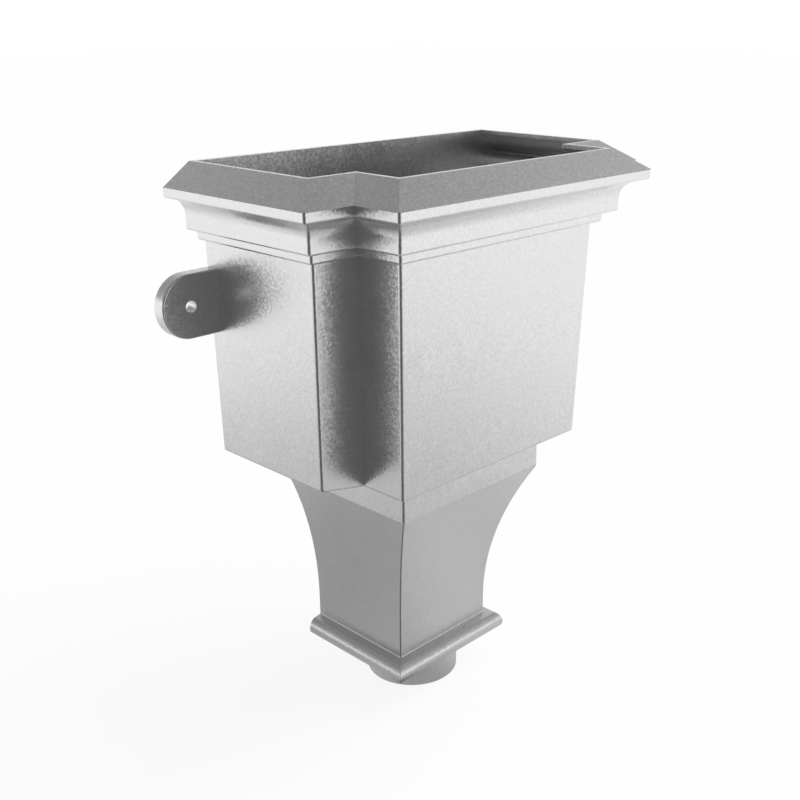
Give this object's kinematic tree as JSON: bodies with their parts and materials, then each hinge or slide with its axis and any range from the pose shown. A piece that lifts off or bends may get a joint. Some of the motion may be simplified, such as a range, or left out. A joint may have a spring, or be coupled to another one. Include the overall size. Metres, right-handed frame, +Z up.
{
  "type": "rainwater hopper",
  "caption": "Cast rainwater hopper head with a T-shaped plan, moulded open top, flared throat, round outlet spigot and side fixing ears.",
  "frame": {"origin": "on the axis of the outlet, at the lower end of the spigot, where the pipe socket comes up over it", "axes": "+Z up along the outlet's axis to the open top, X along the wall, +Y into the wall, the front faces -Y"},
  "size_m": [0.37, 0.1845, 0.433],
  "materials": {
    "cast_aluminium": "bare cast aluminium, fine-grained satin surface from the mould, not painted"
  },
  "bodies": {
    "root": {"hopper": "cast_aluminium"}
  },
  "joints": []
}
